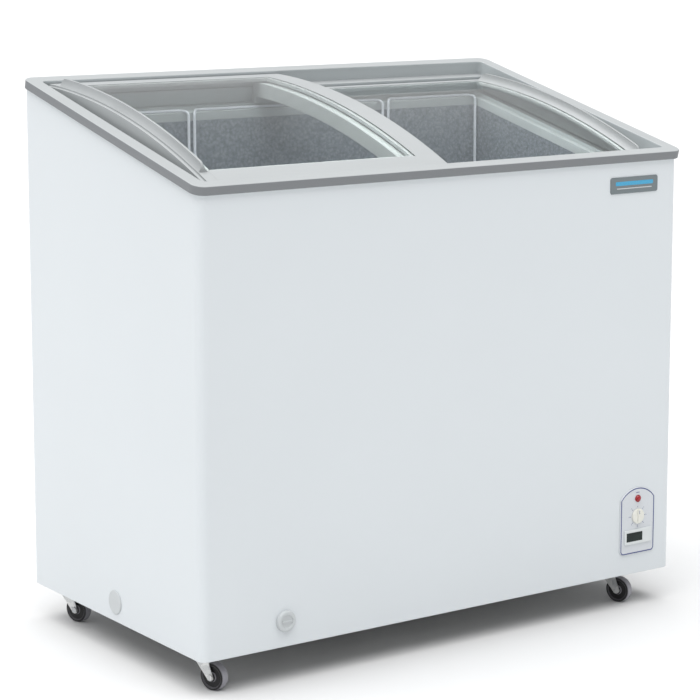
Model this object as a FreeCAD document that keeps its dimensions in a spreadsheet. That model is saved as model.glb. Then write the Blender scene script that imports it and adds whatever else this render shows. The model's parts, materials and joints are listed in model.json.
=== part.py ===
"""Sliding-lid chest freezer: sloped glass lids, foamed cabinet, machine compartment and casters.

World frame: +X right, +Y back, +Z up, millimetres, origin on the floor under the middle.
Everything at the top follows the sloped rim. Its frame is x, s (up the slope from the front edge)
and w (square to the rim plane, 0 on the rim's top face).
"""
import FreeCAD, Part
import math
import os
import Sketcher
from FreeCAD import Placement, Rotation, Vector

os.makedirs("parts", exist_ok=True)
doc = FreeCAD.newDocument("chest_freezer")

# ---------------------------------------------------------------- driving sizes
SIZES = {
    "rim_width": 1000, "rim_run": 585.8, "rim_slope": 13.325, "front_height": 813,
    "rim_band": 15, "rim_land": 26, "rim_corner": 20, "rim_skin": 3,
    "cabinet_width": 986, "cabinet_depth": 557, "cabinet_base": 60, "cabinet_corner": 14,
    "sheet_gauge": 0.8, "pan_gauge": 1.2, "liner_gauge": 1,
    "well_front": 25, "well_back": 561, "upper_track": 24,
    "lower_front": 45, "lower_back": 541, "lower_track": 50,
    "throat_half": 447, "throat_front": 54, "throat_back": 529, "basket_ledge": 57,
    "collar_half": 437, "collar_front": 60, "collar_back": 515.5, "collar_foot": 72,
    "tub_front": -212, "tub_back": 231, "tub_floor": 125, "tub_corner": 12,
    "step_side": 190, "step_top": 340,
    "machine_side": 200, "machine_top": 285,
    "arc_radius": 1389, "arc_middle": 293, "glass_thick": 4, "glass_drop": 0.5,
    "upper_crest": 20.5, "lower_crest": -6.5, "bar_crest": 8, "frame_deep": 10, "lip": 7,
    "glass_half_run": 228, "glass_end": 441, "handle_end": 460, "cheek_end": 466, "rib_tall": 14,
    "upper_rail_front": 27, "upper_rail_back": 559, "upper_foot": 22,
    "lower_rail_front": 47, "lower_rail_back": 539, "lower_foot": 48,
    "stile": 40, "stile_over": 4, "bar_edge": 5, "bar_reach": 62,
    "wheel_radius": 22.5, "wheel_width": 17, "caster_trail": 18, "axle_radius": 3,
    "plate_wide": 80, "plate_tall": 121, "plate_thick": 2.5, "knob_radius": 13.5,
    "wire_radius": 2.5, "grid_radius": 1.5, "basket_rim": 712, "basket_floor": 523,
    "drain_height": 103, "drain_left": 337,
}
sheet = doc.addObject("Spreadsheet::Sheet", "Sizes")
for row, (alias, value) in enumerate(SIZES.items(), start=1):
    sheet.set(f"A{row}", alias)
    sheet.set(f"B{row}", str(value))
    sheet.setAlias(f"B{row}", alias)
doc.recompute()


def formula(value):
    """The sheet formula of a value, or the plain number."""
    return value.text if isinstance(value, Measure) else f"{float(value):.6g}"


class Measure(float):
    """A number that remembers how it is worked out from the sheet."""

    def __new__(cls, value, text):
        made = super().__new__(cls, value)
        made.text = text
        return made

    def __add__(self, other):
        return Measure(float(self) + float(other), f"({self.text} + {formula(other)})")

    def __radd__(self, other):
        return Measure(float(other) + float(self), f"({formula(other)} + {self.text})")

    def __sub__(self, other):
        return Measure(float(self) - float(other), f"({self.text} - {formula(other)})")

    def __rsub__(self, other):
        return Measure(float(other) - float(self), f"({formula(other)} - {self.text})")

    def __mul__(self, other):
        return Measure(float(self) * float(other), f"({self.text} * {formula(other)})")

    __rmul__ = __mul__

    def __truediv__(self, other):
        return Measure(float(self) / float(other), f"({self.text} / {formula(other)})")

    def __neg__(self):
        return Measure(-float(self), f"(-1 * {self.text})")


def size(alias):
    return Measure(float(sheet.get(alias)), f"Sizes.{alias}")


def bind(target, path, value):
    """Drive one property from the sheet."""
    if isinstance(value, Measure):
        target.setExpression(path, value.text)


# ---------------------------------------------------------------- shared places
slope = math.radians(size("rim_slope"))
rim_depth = size("rim_run") * math.cos(slope)
rim_front_y = -(rim_depth + size("rim_band") * math.sin(slope)) / 2
side_x = size("cabinet_width") / 2
face_y = size("cabinet_depth") / 2
base_z = size("cabinet_base")
SLOPED = Placement(Vector(0, rim_front_y, size("front_height")), Rotation(Vector(1, 0, 0), size("rim_slope")))

# places that several sub-parts share, in the world frame
plate_x, plate_z = 412.5, 157
lamp_z, knob_z, module_z = 197, 165, 128.5
lamp_hole, knob_hole = 5, 5
module_half, module_tall = 27, 10
lens_box = (-27, 10.3, -8.2, 8.2)
drain_hole, drain_y, drain_bore = 9, -190, 6.5
plug_hole, plug_y, plug_z = 14, -3, 93
gland_x, gland_z, gland_neck = 218, 110, 7
grille_left, grille_right, grille_low, grille_high = 236, 472, 78, 272
rear_screw_places = [(x, z) for x in (-482, 482) for z in (90, 360, 630, 900)]
rear_screw_radius = 1.4
coil_room = 10.4
machine_floor = base_z + size("pan_gauge")
compressor_x, compressor_y = 345, 20
compressor_low, compressor_tall, compressor_radius = 78, 172, 70
fan_x, fan_y, fan_z = 345, 175, 165
casters = [("front_left", -455, -225), ("front_right", 400, -225),
           ("back_left", -455, 225), ("back_right", 400, 225)]
caster_heading = 21.7
bolt_spots = [(x, y) for x in (-18, 18) for y in (-18, 18)]
WIDE_ARC = 28


def rim_height(y, w):
    """World height of the plane w above the rim's top face, at depth y."""
    return size("front_height") + (y - rim_front_y) * math.tan(slope) + w / math.cos(slope)


def from_rim(x, s, w):
    """World point of a place in the sloped frame."""
    return SLOPED.multVec(Vector(x, s, w))


def place_at(x, y, z):
    return Placement(Vector(x, y, z), Rotation())


# ---------------------------------------------------------------- modelling helpers
bodies = []


def new_body(label, placement=None):
    body = doc.addObject("PartDesign::Body", label)
    body.Label = label
    body.Placement = placement or Placement()
    bodies.append(body)
    return body


def new_feature(label, shape):
    """A piece whose shape comes from Part's own functions."""
    feature = doc.addObject("Part::Feature", label)
    feature.Label = label
    feature.Shape = shape
    bodies.append(feature)
    return feature


def sketch_on(body, role, offset=0, shift=None, turn=None):
    """An empty sketch on one of the body's own planes, offset along that plane's normal."""
    sketch = body.newObject("Sketcher::SketchObject", f"{body.Label}_sketch")
    plane = [p for p in body.Origin.OriginFeatures if p.Role == role][0]
    sketch.AttachmentSupport = [(plane, "")]
    sketch.MapMode = "FlatFace"
    across = shift or (0, 0)
    sketch.AttachmentOffset = Placement(Vector(across[0], across[1], offset), turn or Rotation())
    bind(sketch, "AttachmentOffset.Base.z", offset)
    return sketch


def pin_point(sketch, geometry, end, x, y):
    """Fix a sketch point by its two coordinates."""
    for kind, axis, value in (("DistanceX", -2, x), ("DistanceY", -1, y)):
        if abs(value) < 1e-9:
            sketch.addConstraint(Sketcher.Constraint("PointOnObject", geometry, end, axis))
        else:
            made = sketch.addConstraint(Sketcher.Constraint(kind, -1, 1, geometry, end, float(value)))
            bind(sketch, f"Constraints[{made}]", value)


def outline(sketch, points, arcs=None):
    """A closed profile through points; arcs maps a side's number to a point that its arc passes."""
    arcs = arcs or {}
    first = sketch.GeometryCount
    ends = []
    for number, start in enumerate(points):
        stop = points[(number + 1) % len(points)]
        a, b = Vector(start[0], start[1], 0), Vector(stop[0], stop[1], 0)
        if number not in arcs:
            sketch.addGeometry(Part.LineSegment(a, b), False)
            ends.append((1, 2))
            continue
        middle = Vector(arcs[number][0], arcs[number][1], 0)
        counterclockwise = (middle - a).cross(b - middle).z > 0
        arc = Part.Arc(a, middle, b) if counterclockwise else Part.Arc(b, middle, a)
        sketch.addGeometry(arc, False)
        ends.append((1, 2) if counterclockwise else (2, 1))
    for number, (start, stop) in enumerate(ends):
        after = (number + 1) % len(points)
        sketch.addConstraint(
            Sketcher.Constraint("Coincident", first + number, stop, first + after, ends[after][0]))
    for number, (x, y) in enumerate(points):
        pin_point(sketch, first + number, ends[number][0], x, y)
    for number in arcs:
        radius = sketch.Geometry[first + number].Radius
        sketch.addConstraint(Sketcher.Constraint("Radius", first + number, radius))
    return sketch


def rounded(points, corners):
    """Points and arcs of an outline whose square corners are rounded; corners maps number to radius."""
    made, arcs = [], {}
    for number, (x, y) in enumerate(points):
        if number not in corners:
            made.append((x, y))
            continue
        radius = corners[number]
        ways = []
        for other_x, other_y in (points[number - 1], points[(number + 1) % len(points)]):
            reach = math.hypot(other_x - x, other_y - y)
            ways.append((round((other_x - x) / reach, 6), round((other_y - y) / reach, 6)))
        inset = float(radius) * (1 - math.sqrt(0.5))
        sums = (ways[0][0] + ways[1][0], ways[0][1] + ways[1][1])
        arcs[len(made)] = (x + sums[0] * inset, y + sums[1] * inset)
        made += [(x + way_x * radius, y + way_y * radius) for way_x, way_y in ways]
    return made, arcs


def rectangle(sketch, left, right, low, high):
    return outline(sketch, [(left, low), (right, low), (right, high), (left, high)])


def circle(sketch, x, y, radius):
    made = sketch.addGeometry(Part.Circle(Vector(x, y, 0), Vector(0, 0, 1), float(radius)), False)
    pin_point(sketch, made, 3, x, y)
    size_at = sketch.addConstraint(Sketcher.Constraint("Radius", made, float(radius)))
    bind(sketch, f"Constraints[{size_at}]", radius)
    return sketch


def extrude(kind, body, sketch, length, symmetric, reverse):
    feature = body.newObject(f"PartDesign::{kind}", f"{body.Label}_{kind.lower()}")
    feature.Profile = sketch
    if symmetric:
        feature.SideType = "Symmetric"
    if length is None:
        feature.Type = "ThroughAll"
    else:
        feature.Length = float(length)
        bind(feature, "Length", length)
    feature.Reversed = reverse
    sketch.Visibility = False
    return feature


def pad(body, sketch, length, symmetric=False, reverse=False):
    feature = extrude("Pad", body, sketch, length, symmetric, reverse)
    doc.recompute()
    return feature


def checked_cut(body, feature, before):
    """A cut that points the wrong way removes nothing, so it is an error here."""
    doc.recompute()
    after = body.Shape.Volume
    if not after < before - 1e-6:
        raise RuntimeError(f"{feature.Label} cuts nothing")
    return feature


def pocket(body, sketch, length=None, symmetric=False, reverse=False):
    before = body.Shape.Volume
    return checked_cut(body, extrude("Pocket", body, sketch, length, symmetric, reverse), before)


def turned(kind, body, sketch, angle, axis="H_Axis"):
    feature = body.newObject(f"PartDesign::{kind}", f"{body.Label}_{kind.lower()}")
    feature.Profile = sketch
    feature.ReferenceAxis = (sketch, [axis])
    feature.Angle = float(angle)
    feature.Midplane = True
    sketch.Visibility = False
    return feature


def revolve(body, sketch, angle=360, axis="H_Axis"):
    feature = turned("Revolution", body, sketch, angle, axis)
    doc.recompute()
    return feature


def groove(body, sketch, angle=360, axis="H_Axis"):
    before = body.Shape.Volume
    return checked_cut(body, turned("Groove", body, sketch, angle, axis), before)


def fillet(body, radius, wanted):
    """Round the edges of the body's last feature that wanted() picks."""
    base = body.Tip
    names = [f"Edge{n}" for n, edge in enumerate(base.Shape.Edges, 1) if wanted(edge)]
    feature = body.newObject("PartDesign::Fillet", f"{body.Label}_fillet")
    feature.Base = (base, names)
    feature.Radius = float(radius)
    bind(feature, "Radius", radius)
    doc.recompute()
    if not names or {"Invalid", "Error"} & set(feature.State) or not feature.Shape.isValid():
        raise RuntimeError(f"{feature.Label} fails on {len(names)} edges")
    return feature


def upright(*corners):
    """Picks edges along the third axis that stand at any of the corners (x, y)."""

    def wanted(edge):
        low, high = edge.Vertexes[0].Point, edge.Vertexes[-1].Point
        if math.hypot(high.x - low.x, high.y - low.y) > 0.01:
            return False
        return any(math.hypot(low.x - x, low.y - y) < 0.05 for x, y in corners)

    return wanted


def box_corners(half_x, low, high):
    return [(-half_x, low), (half_x, low), (half_x, high), (-half_x, high)]


def level(height):
    """Picks edges that lie wholly at one height of the body's frame."""
    return lambda edge: abs(edge.BoundBox.ZMin - height) < 0.01 and edge.BoundBox.ZLength < 0.01


def at_depth(y):
    """Picks edges that lie wholly at one world depth."""
    return lambda edge: abs(edge.BoundBox.YMin - y) < 0.01 and edge.BoundBox.YLength < 0.01


def holes(body, role, offset, places, radius, depth, reverse=False):
    sketch = sketch_on(body, role, offset)
    for x, y in places:
        circle(sketch, x, y, radius)
    return pocket(body, sketch, depth, reverse=reverse)


def slope_cut(body, w):
    """Take off everything above the plane w of the sloped rim."""
    reach = 2000
    sketch = sketch_on(body, "YZ_Plane")
    under = [(y, rim_height(y, w)) for y in (-reach, reach)]
    outline(sketch, [*under, (reach, reach), (-reach, reach)])
    return pocket(body, sketch, None, symmetric=True)


def bent_path(points, bend, closed=False):
    """A wire of straight runs joined by tangent arcs."""
    count = len(points)
    corners = range(count) if closed else range(1, count - 1)
    arcs = {}
    for number in corners:
        here = points[number]
        to_last = (points[number - 1] - here).normalize()
        to_next = (points[(number + 1) % count] - here).normalize()
        half = to_last.getAngle(to_next) / 2
        back_off = bend / math.tan(half)
        middle = here + (to_last + to_next).normalize() * (bend / math.sin(half) - bend)
        arcs[number] = (here + to_last * back_off, middle, here + to_next * back_off)
    edges = []
    for number in range(count if closed else count - 1):
        after = (number + 1) % count
        start = arcs[number][2] if number in arcs else points[number]
        stop = arcs[after][0] if after in arcs else points[after]
        if (stop - start).Length > 1e-6:
            edges.append(Part.makeLine(start, stop))
        if after in arcs:
            edges.append(Part.Arc(*arcs[after]).toShape())
    return Part.Wire(edges)


def tube(points, radius, bend, closed=False, bore=0):
    """A round bar, or a pipe with a bore, along a bent path."""
    spine = bent_path([Vector(*p) for p in points], bend, closed)
    start = spine.Edges[0]
    at, along = start.valueAt(start.FirstParameter), start.tangentAt(start.FirstParameter)
    solids = []
    for ring in (radius, bore):
        if ring:
            profile = Part.Wire([Part.makeCircle(ring, at, along)])
            solids.append(spine.makePipeShell([profile], True, True))
    return solids[0].cut(solids[1]) if bore else solids[0]


# ---------------------------------------------------------------- cabinet
def make_outer_wrap():
    """Painted steel wrapped round the front and both sides, with a flange at each rear edge."""
    body = new_body("outer_wrap")
    gauge = size("sheet_gauge")
    flange = 15
    lip_x = side_x - flange
    path = [(-lip_x, face_y), (-side_x, face_y), (-side_x, -face_y), (side_x, -face_y), (side_x, face_y),
            (lip_x, face_y), (lip_x, face_y - gauge), (side_x - gauge, face_y - gauge),
            (side_x - gauge, -face_y + gauge), (-side_x + gauge, -face_y + gauge),
            (-side_x + gauge, face_y - gauge), (-lip_x, face_y - gauge)]
    outer, inner = size("cabinet_corner"), size("cabinet_corner") - gauge
    points, arcs = rounded(path, {2: outer, 3: outer, 8: inner, 9: inner})
    pad(body, outline(sketch_on(body, "XY_Plane", base_z), points, arcs), rim_height(face_y, 0) - base_z)
    slope_cut(body, -size("rim_band"))
    sketch = sketch_on(body, "XZ_Plane", face_y + 5)
    circle(sketch, plate_x, lamp_z, lamp_hole)
    circle(sketch, plate_x, knob_z, knob_hole)
    rectangle(sketch, plate_x - module_half, plate_x + module_half,
              module_z - module_tall, module_z + module_tall)
    circle(sketch, -size("drain_left"), size("drain_height"), drain_hole)
    pocket(body, sketch, 10)
    holes(body, "YZ_Plane", -side_x - 5, [(plug_y, plug_z)], plug_hole, 10, reverse=True)


def make_rear_panel():
    """Flat back sheet with the opening of the machine compartment."""
    body = new_body("rear_panel")
    half, low, high = 486, 66, 922
    sketch = rectangle(sketch_on(body, "XZ_Plane", -face_y), -half, half, low, high)
    pad(body, sketch, size("sheet_gauge"), reverse=True)
    opening = sketch_on(body, "XZ_Plane", -face_y)
    rectangle(opening, grille_left + 8, grille_right - 8, grille_low + 8, grille_high - 8)
    circle(opening, gland_x, gland_z, gland_neck)
    for x, z in rear_screw_places:
        circle(opening, x, z, rear_screw_radius)
    pocket(body, opening, None, symmetric=True)


def make_rear_grille():
    """Removable louvred cover over the machine compartment."""
    body = new_body("rear_grille")
    back = face_y + size("sheet_gauge")
    sketch = rectangle(sketch_on(body, "XZ_Plane", -back), grille_left, grille_right, grille_low, grille_high)
    pad(body, sketch, 1.5, reverse=True)
    fillet(body, 8, lambda edge: edge.Length < 1.6 and abs(edge.BoundBox.YLength - 1.5) < 0.01)
    rows, slot_tall, slot_wide = 12, 5, 62
    pitch = (grille_high - grille_low - 30) / (rows - 1)
    slots = sketch_on(body, "XZ_Plane", -back)
    for column in range(3):
        left = grille_left + 15 + column * 72
        for line in range(rows):
            low = grille_low + 15 + line * pitch - slot_tall / 2
            rectangle(slots, left, left + slot_wide, low, low + slot_tall)
    pocket(body, slots, None, symmetric=True)


def make_base_pan():
    """Bottom tray with a turned-up rim inside the wrap."""
    body = new_body("base_pan")
    gap = size("sheet_gauge") + 0.2
    half_x, half_y = side_x - gap, face_y - gap
    wall = size("pan_gauge")

    def tray(height, shrink):
        """Outline of the tray with its two front corners rounded."""
        x, y, corner = half_x - shrink, half_y - shrink, size("cabinet_corner") - gap - shrink
        points, arcs = rounded(box_corners(x, -y, y), {0: corner, 1: corner})
        return outline(sketch_on(body, "XY_Plane", height), points, arcs)

    pad(body, tray(base_z, 0), 14)
    pocket(body, tray(base_z + 14, wall), 14 - wall)


def make_machine_housing():
    """Sheet that walls the machine compartment off from the foam."""
    body = new_body("machine_housing")
    left, top = size("machine_side"), size("machine_top")
    right = side_x - 2.4
    floor = base_z + 14.2
    gauge = size("sheet_gauge")
    profile = [(left, floor), (left + gauge, floor), (left + gauge, top - gauge), (right, top - gauge),
               (right, top), (left, top)]
    deep = size("cabinet_depth") - 6
    pad(body, outline(sketch_on(body, "XZ_Plane"), profile), deep, symmetric=True)
    fillet(body, 28, upright((right, -deep / 2)))


def tub_block(label, grow):
    """Solid filling of the tub, grown evenly by the liner's thickness or by nothing."""
    body = doc.addObject("PartDesign::Body", label)
    half, front, back = size("collar_half") + grow, size("tub_front") - grow, size("tub_back") + grow
    low, step_z, step_x = size("tub_floor") - grow, size("step_top") - grow, size("step_side") - grow
    top = 1000
    profile = [(-half, low), (step_x, low), (step_x, step_z), (half, step_z), (half, top), (-half, top)]
    pad(body, outline(sketch_on(body, "XZ_Plane", -back), profile), back - front)
    fillet(body, size("tub_corner") + grow, upright(*box_corners(half, front, back)))
    return body


def make_liner():
    """Aluminium tub with a step over the machine compartment."""
    wall = size("liner_gauge")
    outside = tub_block("liner_outside", wall)
    slope_cut(outside, -size("collar_foot"))
    shell = doc.addObject("Part::Cut", "liner_shell")
    shell.Base, shell.Tool = outside, tub_block("liner_inside", 0)
    drain = doc.addObject("Part::Cylinder", "liner_drain")
    drain.Radius, drain.Height = drain_bore, 20
    drain.Placement.Base = Vector(-size("drain_left"), drain_y, size("tub_floor") - 10)
    liner = doc.addObject("Part::Cut", "inner_liner")
    liner.Base, liner.Tool = shell, drain
    liner.Label = "inner_liner"
    doc.recompute()
    bodies.append(liner)


def make_foam():
    """Foamed insulation between the wrap and the liner."""
    body = new_body("foam_insulation")
    skin = 2.3
    half_x, half_y = side_x - skin, face_y - skin
    low = base_z + size("pan_gauge")
    start = rectangle(sketch_on(body, "XY_Plane", low), -half_x, half_x, -half_y, half_y)
    pad(body, start, rim_height(half_y, 0) - low)
    slope_cut(body, -size("rim_band") - 0.2)
    fillet(body, size("cabinet_corner") - skin, upright((-half_x, -half_y), (half_x, -half_y)))
    skirt = size("rim_skin")
    wells = [
        (size("rim_width") / 2 - size("rim_land") + 4, size("well_front") - 4, size("well_back") + 4,
         size("upper_track") + skirt),
        (size("rim_width") / 2 - size("rim_land") + 4, size("lower_front") - 4, size("lower_back") + 4,
         size("lower_track") + skirt),
        (size("throat_half") + 6, size("throat_front") - 6, size("throat_back") + 6,
         size("basket_ledge") + skirt),
        (size("collar_half") + 3, size("collar_front") - 3, size("collar_back") + 3, size("collar_foot")),
    ]
    tilt = Rotation(Vector(1, 0, 0), size("rim_slope"))
    for half, front, back, depth in wells:
        sketch = sketch_on(body, "XY_Plane", size("front_height"), (0, rim_front_y), tilt)
        rectangle(sketch, -half, half, front, back)
        pocket(body, sketch, depth)
    room = coil_room
    tub_x, front, back = size("collar_half") + room, size("tub_front") - room, size("tub_back") + room
    wall = size("liner_gauge")
    coil_top = 660
    tub = rectangle(sketch_on(body, "XY_Plane", coil_top), -tub_x, tub_x, front, back)
    pocket(body, tub, coil_top - size("step_top") + wall)
    neck = sketch_on(body, "XY_Plane", 1000)
    rectangle(neck, -size("collar_half") - wall, size("collar_half") + wall,
              size("tub_front") - wall, size("tub_back") + wall)
    pocket(body, neck, 1000 - coil_top)
    deep = sketch_on(body, "XY_Plane", size("step_top"))
    rectangle(deep, -tub_x, size("step_side") - wall, front, back)
    pocket(body, deep, size("step_top") - size("tub_floor") + wall)
    machine = sketch_on(body, "XZ_Plane")
    rectangle(machine, size("machine_side"), side_x, 0, size("machine_top"))
    pocket(body, machine, None, symmetric=True)
    drain = sketch_on(body, "XY_Plane", size("tub_floor"))
    rectangle(drain, -size("drain_left") - 11, -size("drain_left") + 11, -face_y, drain_y + 16)
    pocket(body, drain, size("tub_floor") - size("drain_height") + 11)


# ---------------------------------------------------------------- rim and collar
def make_top_frame():
    """Moulded rim with two pairs of lid tracks stepping down into the tub."""
    body = new_body("top_frame", SLOPED)
    half, run = size("rim_width") / 2, size("rim_run")
    band, skirt = size("rim_band"), size("rim_skin")
    well = half - size("rim_land")
    front, back = size("well_front"), size("well_back")
    low_front, low_back = size("lower_front"), size("lower_back")
    upper, lower = size("upper_track"), size("lower_track")
    pad(body, rectangle(sketch_on(body, "XY_Plane"), -half, half, 0, run), band, reverse=True)
    fillet(body, size("rim_corner"), upright(*box_corners(half, 0, run)))
    tray = rectangle(sketch_on(body, "XY_Plane", -band), -well - 4, well + 4, front - 4, back + 4)
    pad(body, tray, upper + skirt - band, reverse=True)
    trough = sketch_on(body, "XY_Plane", -upper - skirt)
    rectangle(trough, -well - 4, well + 4, low_front - 4, low_back + 4)
    pad(body, trough, lower - upper, reverse=True)
    pocket(body, rectangle(sketch_on(body, "XY_Plane"), -well, well, front, back), upper)
    pocket(body, rectangle(sketch_on(body, "XY_Plane"), -well, well, low_front, low_back), lower)
    throat = size("throat_half")
    opening = sketch_on(body, "XY_Plane")
    rectangle(opening, -throat, throat, size("throat_front"), size("throat_back"))
    pocket(body, opening, lower + skirt + 5)
    fillet(body, 8, upright(*box_corners(well, front, back)))
    fillet(body, 14, upright(*box_corners(throat, size("throat_front"), size("throat_back"))))
    fillet(body, 1.6, level(0))
    at_foot = level(-band)

    def outer_foot(edge):
        """The band's lower edge, all round the outside."""
        box = edge.BoundBox
        outside = max(abs(box.XMin), abs(box.XMax)) > half - 0.01 or box.YMin < 0.01 or box.YMax > run - 0.01
        return outside and at_foot(edge)

    fillet(body, 1.2, outer_foot)


def make_throat_collar():
    """Ring that carries the baskets and covers the liner's cut edge."""
    body = new_body("throat_collar", SLOPED)
    top = -size("lower_track") - size("rim_skin")
    foot, ledge = -size("collar_foot"), -size("basket_ledge")
    throat, wall = size("throat_half"), size("collar_half")
    front, back = size("collar_front"), size("collar_back")
    start = sketch_on(body, "XY_Plane", top)
    rectangle(start, -throat - 5, throat + 5, size("throat_front") - 5, size("throat_back") + 5)
    pad(body, start, top - foot, reverse=True)
    recess = sketch_on(body, "XY_Plane", top)
    rectangle(recess, -throat, throat, size("throat_front"), size("throat_back"))
    pocket(body, recess, top - ledge)
    pocket(body, rectangle(sketch_on(body, "XY_Plane", top), -wall, wall, front, back), None)
    outside = sketch_on(body, "XY_Plane", ledge - 3)
    rectangle(outside, -throat - 9, throat + 9, size("throat_front") - 9, size("throat_back") + 9)
    rectangle(outside, -wall - 3, wall + 3, front - 3, back + 3)
    pocket(body, outside, 40)
    fillet(body, 14, upright(*box_corners(throat, size("throat_front"), size("throat_back"))))
    fillet(body, 8, upright(*box_corners(wall, front, back)))


# ---------------------------------------------------------------- sliding lids
def arc_height(crest, s, datum):
    """Height w at s of a surface of the given crest, concentric with the lid whose top crest is datum."""
    radius = float(size("arc_radius")) + crest - datum
    return float(crest) - radius + math.sqrt(radius ** 2 - (s - size("arc_middle")) ** 2)


def arc_sketch(body, crest):
    """A cross-section sketch whose horizontal axis is the arc's centre line for that crest."""
    sketch = sketch_on(body, "XZ_Plane", -size("arc_middle"), (0, crest - size("arc_radius")))
    bind(sketch, "AttachmentOffset.Base.y", crest - size("arc_radius"))
    return sketch


def angle_for(half_run):
    """Full angle that the arc turns over twice half_run."""
    return 2 * math.degrees(math.asin(half_run / size("arc_radius")))


def arch(sketch, front, back, crest, bottom, datum):
    """Elevation with an arc top and a flat or arched bottom, as (s, w) points."""
    middle = size("arc_middle")
    points = [(front, arc_height(crest, front, datum)), (back, arc_height(crest, back, datum))]
    arcs = {0: (middle, crest)}
    if bottom[0] == "flat":
        points += [(back, bottom[1]), (front, bottom[1])]
    else:
        points += [(s, arc_height(bottom[1], s, datum)) for s in (back, front)]
        arcs[2] = (middle, bottom[1])
    return outline(sketch, points, arcs)


def make_lid(side, name, crest, front, back, foot, inner_edge, bar_crest):
    """One lid: side is -1 for the upper, left-hand one and 1 for the lower, right-hand one.

    Its inner end bar rises to bar_crest, which may be above the rest of the lid.
    """
    radius = size("arc_radius")
    glass_edge = side * size("glass_end")
    frame = new_body(f"{name}_frame", SLOPED)
    glass_inner = side * size("stile") if side < 0 else -1 * size("bar_edge")
    low_x, high_x = sorted((inner_edge, glass_edge))
    start = rectangle(sketch_on(frame, "XY_Plane", -1 * foot), low_x, high_x, front, back)
    pad(frame, start, foot + 40)
    fillet(frame, 9, upright((inner_edge, front), (inner_edge, back)))
    bar_rise = bar_crest - crest
    if bar_rise:
        bar_top = arc_sketch(frame, crest)
        rectangle(bar_top, low_x - 5, high_x + 5, radius + bar_rise, radius + 90)
        groove(frame, bar_top, WIDE_ARC)
    top = arc_sketch(frame, crest)
    rectangle(top, glass_inner if bar_rise else low_x - 5, high_x + 5, radius, radius + 90)
    groove(frame, top, WIDE_ARC)
    under = arc_sketch(frame, crest)
    rectangle(under, low_x - 5, high_x + 5, radius - 150, radius - size("frame_deep"))
    clear_run = (back - front) / 2 - 14
    groove(frame, under, angle_for(clear_run))
    lip = size("lip")
    half_run = size("glass_half_run")
    middle = size("arc_middle")
    window = sketch_on(frame, "XY_Plane", 60)
    if side < 0:
        rectangle(window, glass_edge - 1, glass_inner - lip, middle - half_run + lip, middle + half_run - lip)
    else:
        rectangle(window, glass_inner + lip, glass_edge + 1, middle - half_run + lip, middle + half_run - lip)
    pocket(frame, window, 200)
    seat = arc_sketch(frame, crest)
    deep = size("glass_thick") + size("glass_drop")
    seat_low, seat_high = sorted((glass_inner, glass_edge + side))
    rectangle(seat, seat_low, seat_high, radius - deep, radius + 20)
    groove(frame, seat, angle_for(half_run))

    glass = new_body(f"{name}_glass", SLOPED)
    pane = arc_sketch(glass, crest)
    pane_low, pane_high = sorted((glass_inner, glass_edge))
    rectangle(pane, pane_low, pane_high, radius - deep, radius - size("glass_drop"))
    revolve(glass, pane, angle_for(half_run))

    make_handle(side, name, crest, front, back, foot)
    make_glides(side, name, front, back, foot)


def make_handle(side, name, crest, front, back, foot):
    """End moulding: a raised pull rib, the seat for the pane's end and a skirt down to the track."""
    body = new_body(f"{name}_handle", SLOPED)
    inner, outer, skirt = size("glass_end"), size("handle_end"), size("cheek_end")
    middle, rise, radius = size("arc_middle"), size("rib_tall"), size("arc_radius")
    rib_half_run, rib_root, rib_round = 231, 30, 12

    def slab(near, far):
        """Sketch offset, length and direction of a pad between two distances from the middle."""
        return side * near, far - near, side < 0

    offset, thick, reverse = slab(inner, outer)
    rib = sketch_on(body, "YZ_Plane", offset)
    arch(rib, middle - rib_half_run, middle + rib_half_run, crest + rise, ("flat", crest - rib_root), crest)
    pad(body, rib, thick, reverse=reverse)

    def rib_ends(edge):
        """The two upper corners at the rib's ends."""
        box = edge.BoundBox
        return box.XLength > 1 and max(box.YLength, box.ZLength) < 0.01 and box.ZMin > crest - rib_root + 8

    fillet(body, rib_round, rib_ends)

    # the rib narrows from a wide root to a thin crown, with a hollow flank on each side
    top, base = radius + rise, radius - 0.5
    flanks = [(inner + 0.3, inner - 1, inner + 6.5, rise - 9.4, inner + 10, inner + 10.6),
              (outer - 0.3, outer + 1, outer - 3.8, rise - 8.4, outer - 5, outer - 5.6)]
    for foot_x, clear_x, belly_x, belly_rise, neck_x, crown_x in flanks:
        flank = arc_sketch(body, crest)
        points = [(side * clear_x, base), (side * foot_x, base), (side * neck_x, top - 1),
                  (side * crown_x, top + 5), (side * clear_x, top + 5)]
        outline(flank, points, {1: (side * belly_x, radius + belly_rise)})
        groove(body, flank, WIDE_ARC)

    block = arch(sketch_on(body, "YZ_Plane", offset), front, back, crest, ("flat", -1 * foot), crest)
    pad(body, block, thick, reverse=reverse)
    hollow = sketch_on(body, "YZ_Plane", offset)
    wall = 14
    arch(hollow, front + wall, back - wall, crest - size("frame_deep"), ("flat", -1 * foot - 5), crest)
    pocket(body, hollow, thick, reverse=not reverse)

    offset, thick, reverse = slab(outer, skirt)
    cheek = arch(sketch_on(body, "YZ_Plane", offset), front, back, crest - 3, ("flat", -1 * foot), crest)
    pad(body, cheek, thick, reverse=reverse)

    offset, thick, reverse = slab(inner - size("lip"), inner)
    half = size("glass_half_run") - size("lip")
    seat_top = crest - size("glass_thick") - size("glass_drop") - 0.05
    seat_under = crest - size("frame_deep") + 0.6
    seat = sketch_on(body, "YZ_Plane", offset)
    arch(seat, middle - half, middle + half, seat_top, ("arched", seat_under), crest)
    pad(body, seat, thick, reverse=reverse)
    fillet(body, 9, upright((side * skirt, front), (side * skirt, back)))


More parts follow.
